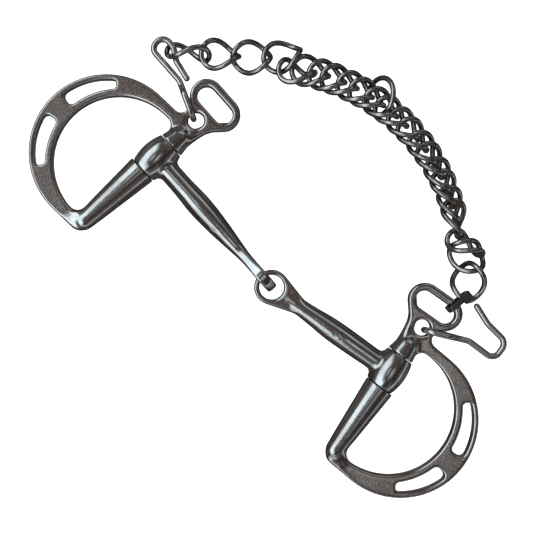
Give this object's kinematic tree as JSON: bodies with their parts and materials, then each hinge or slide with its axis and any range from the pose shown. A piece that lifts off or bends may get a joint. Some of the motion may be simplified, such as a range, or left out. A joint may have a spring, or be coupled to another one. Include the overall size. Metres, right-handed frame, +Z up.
{
  "type": "curb bit",
  "caption": "Jointed curb bit with slotted D cheeks turning on hinge pins, wire curb hooks, and a curb chain of twisted interlinked rings carrying a loose fly link.",
  "frame": {"origin": "centre of the mouthpiece's middle joint, in the plane the bit lies in", "axes": "+X from the left cheek to the right cheek, +Y toward the headstall loops and the curb chain, +Z up out of the plane the bit lies in"},
  "size_m": [0.2627, 0.1554, 0.0218],
  "materials": {
    "polished_steel": "polished cast stainless steel, lightly worn",
    "pin_steel": "ground steel pin",
    "wire_steel": "polished stainless wire",
    "chain_steel": "polished stainless wire rings",
    "black_nylon": "moulded black nylon"
  },
  "bodies": {
    "cannon_left": {"cannon_left": "polished_steel"},
    "cheek_left": {"cheek_left": "polished_steel", "hinge_pin_left": "pin_steel"},
    "curb_hook_left": {"curb_hook_left": "wire_steel"},
    "cannon_right": {"cannon_right": "polished_steel"},
    "cheek_right": {"cheek_right": "polished_steel", "hinge_pin_right": "pin_steel", "cable_tie": "black_nylon"},
    "curb_hook_right": {"curb_hook_right": "wire_steel"},
    "end_link_right_1": {"end_link_right_1": "chain_steel"},
    "end_link_right_2": {"end_link_right_2": "chain_steel"},
    "end_link_right_3": {"end_link_right_3": "chain_steel"},
    "double_link_16": {"double_link_16": "chain_steel"},
    "double_link_15": {"double_link_15": "chain_steel"},
    "double_link_14": {"double_link_14": "chain_steel"},
    "double_link_13": {"double_link_13": "chain_steel"},
    "double_link_12": {"double_link_12": "chain_steel"},
    "double_link_11": {"double_link_11": "chain_steel"},
    "double_link_10": {"double_link_10": "chain_steel"},
    "double_link_09": {"double_link_09": "chain_steel"},
    "double_link_08": {"double_link_08": "chain_steel"},
    "double_link_07": {"double_link_07": "chain_steel"},
    "double_link_06": {"double_link_06": "chain_steel"},
    "double_link_05": {"double_link_05": "chain_steel"},
    "double_link_04": {"double_link_04": "chain_steel"},
    "double_link_03": {"double_link_03": "chain_steel"},
    "double_link_02": {"double_link_02": "chain_steel"},
    "double_link_01": {"double_link_01": "chain_steel"},
    "end_link_left_4": {"end_link_left_4": "chain_steel"},
    "end_link_left_3": {"end_link_left_3": "chain_steel"},
    "end_link_left_2": {"end_link_left_2": "chain_steel"},
    "end_link_left_1": {"end_link_left_1": "chain_steel"},
    "fly_link": {"fly_link": "chain_steel"}
  },
  "joints": [
    {"name": "left_cheek_turn", "type": "hinge", "parent": "cannon_left", "child": "cheek_left", "pos_m": [-0.08165, 0.00952, 0], "axis": [0.1158, 0.9933, 0], "range_deg": [-157, 157]},
    {"name": "left_hook_swing", "type": "hinge", "parent": "cheek_left", "child": "curb_hook_left", "pos_m": [-0.08557, 0.03721, 0], "axis": [0.4672, 0.8842, 0], "range_deg": [-52.4, 52.4]},
    {"name": "mouth_joint", "type": "hinge", "parent": "cannon_left", "child": "cannon_right", "pos_m": [-0.00708, 0.00083, 0], "axis": [0, 1, 0], "range_deg": [-90, 90]},
    {"name": "right_cheek_turn", "type": "hinge", "parent": "cannon_right", "child": "cheek_right", "pos_m": [0.06814, 0.00794, 0], "axis": [-0.1158, 0.9933, 0], "range_deg": [-157, 157]},
    {"name": "right_hook_swing", "type": "hinge", "parent": "cheek_right", "child": "curb_hook_right", "pos_m": [0.07206, 0.03563, 0], "axis": [-0.4672, 0.8842, 0], "range_deg": [-90, 90]},
    {"name": "end_link_right_1_swing", "type": "hinge", "parent": "cheek_right", "child": "end_link_right_1", "pos_m": [0.07133, 0.05825, 0.0008], "axis": [-0.9988, -0.0489, -0.0047], "range_deg": [-3, 3]},
    {"name": "end_link_right_2_swing", "type": "hinge", "parent": "end_link_right_1", "child": "end_link_right_2", "pos_m": [0.0666, 0.07097, 0.00321], "axis": [0.9925, 0.121, 0.0182], "range_deg": [-3, 3]},
    {"name": "end_link_right_3_swing", "type": "hinge", "parent": "end_link_right_2", "child": "end_link_right_3", "pos_m": [0.04944, 0.07134, 0.00239], "axis": [-0.9906, -0.136, -0.0151], "range_deg": [-3, 3]},
    {"name": "double_link_16_swing", "type": "hinge", "parent": "end_link_right_3", "child": "double_link_16", "pos_m": [0.05014, 0.07908, -0.00253], "axis": [0.9832, 0.1817, -0.0152], "range_deg": [-3, 3]},
    {"name": "double_link_15_swing", "type": "hinge", "parent": "double_link_16", "child": "double_link_15", "pos_m": [0.03705, 0.08085, 0.00474], "axis": [-0.9775, -0.2084, -0.0317], "range_deg": [-3, 1.5]},
    {"name": "double_link_14_swing", "type": "hinge", "parent": "double_link_15", "child": "double_link_14", "pos_m": [0.03106, 0.08445, 0.00443], "axis": [0.9702, 0.2402, 0.0307], "range_deg": [-3, 3]},
    {"name": "double_link_13_swing", "type": "hinge", "parent": "double_link_14", "child": "double_link_13", "pos_m": [0.02457, 0.08713, 0.00437], "axis": [-0.9627, -0.2688, -0.0315], "range_deg": [-3, 3]},
    {"name": "double_link_12_swing", "type": "hinge", "parent": "double_link_13", "child": "double_link_12", "pos_m": [0.01813, 0.08975, 0.00407], "axis": [0.9537, 0.2991, 0.0305], "range_deg": [-3, 3]},
    {"name": "double_link_11_swing", "type": "hinge", "parent": "double_link_12", "child": "double_link_11", "pos_m": [0.01132, 0.09137, 0.00399], "axis": [-0.9451, -0.3254, -0.0313], "range_deg": [-3, 3]},
    {"name": "double_link_10_swing", "type": "hinge", "parent": "double_link_11", "child": "double_link_10", "pos_m": [0.00491, 0.09298, 0.00386], "axis": [0.9351, 0.3529, 0.0316], "range_deg": [-3, 3]},
    {"name": "double_link_09_swing", "type": "hinge", "parent": "double_link_10", "child": "double_link_09", "pos_m": [-0.00204, 0.09354, 0.00377], "axis": [-0.9259, -0.3765, -0.0326], "range_deg": [-3, 3]},
    {"name": "double_link_08_swing", "type": "hinge", "parent": "double_link_09", "child": "double_link_08", "pos_m": [-0.00895, 0.09407, 0.00346], "axis": [0.915, 0.4021, 0.0316], "range_deg": [-3, 3]},
    {"name": "double_link_07_swing", "type": "hinge", "parent": "double_link_08", "child": "double_link_07", "pos_m": [-0.01588, 0.09353, 0.00335], "axis": [-0.906, -0.4221, -0.0325], "range_deg": [-3, 3]},
    {"name": "double_link_06_swing", "type": "hinge", "parent": "double_link_07", "child": "double_link_06", "pos_m": [-0.02277, 0.09299, 0.00305], "axis": [0.8953, 0.4443, 0.0316], "range_deg": [-3, 3]},
    {"name": "double_link_05_swing", "type": "hinge", "parent": "double_link_06", "child": "double_link_05", "pos_m": [-0.02935, 0.09139, 0.00304], "axis": [-0.8879, -0.4587, -0.0337], "range_deg": [-3, 3]},
    {"name": "double_link_04_swing", "type": "hinge", "parent": "double_link_05", "child": "double_link_04", "pos_m": [-0.03605, 0.08978, 0.00274], "axis": [0.8789, 0.4759, 0.0328], "range_deg": [-3, 3]},
    {"name": "double_link_03_swing", "type": "hinge", "parent": "double_link_04", "child": "double_link_03", "pos_m": [-0.04245, 0.08717, 0.00258], "axis": [-0.8743, -0.4843, -0.0337], "range_deg": [-3, 3]},
    {"name": "double_link_02_swing", "type": "hinge", "parent": "double_link_03", "child": "double_link_02", "pos_m": [-0.04881, 0.08455, 0.0023], "axis": [0.8689, 0.494, 0.033], "range_deg": [-3, 3]},
    {"name": "double_link_01_swing", "type": "hinge", "parent": "double_link_02", "child": "double_link_01", "pos_m": [-0.06477, 0.08603, -0.00028], "axis": [-0.7815, -0.6239, 0.004], "range_deg": [-3, 3]},
    {"name": "end_link_left_4_swing", "type": "hinge", "parent": "double_link_01", "child": "end_link_left_4", "pos_m": [-0.06516, 0.07949, 0.00217], "axis": [0.8333, 0.5513, 0.0406], "range_deg": [-1.5, 3]},
    {"name": "end_link_left_3_swing", "type": "hinge", "parent": "end_link_left_4", "child": "end_link_left_3", "pos_m": [-0.07415, 0.07929, 0.00042], "axis": [-0.7738, -0.6334, -0.0099], "range_deg": [-3, 3]},
    {"name": "end_link_left_2_swing", "type": "hinge", "parent": "end_link_left_3", "child": "end_link_left_2", "pos_m": [-0.08608, 0.07068, 0.0007], "axis": [0.7558, 0.6544, 0.023], "range_deg": [-3, 3]},
    {"name": "end_link_left_1_swing", "type": "hinge", "parent": "end_link_left_2", "child": "end_link_left_1", "pos_m": [-0.09905, 0.06282, 0.00287], "axis": [-0.6459, -0.746, -0.1619], "range_deg": [-3, 3]},
    {"name": "fly_link_swing", "type": "hinge", "parent": "double_link_08", "child": "fly_link", "pos_m": [-0.0173, 0.0952, -0.001], "axis": [0.3536, 0.6124, 0.7071], "range_deg": [-45, 3]}
  ]
}
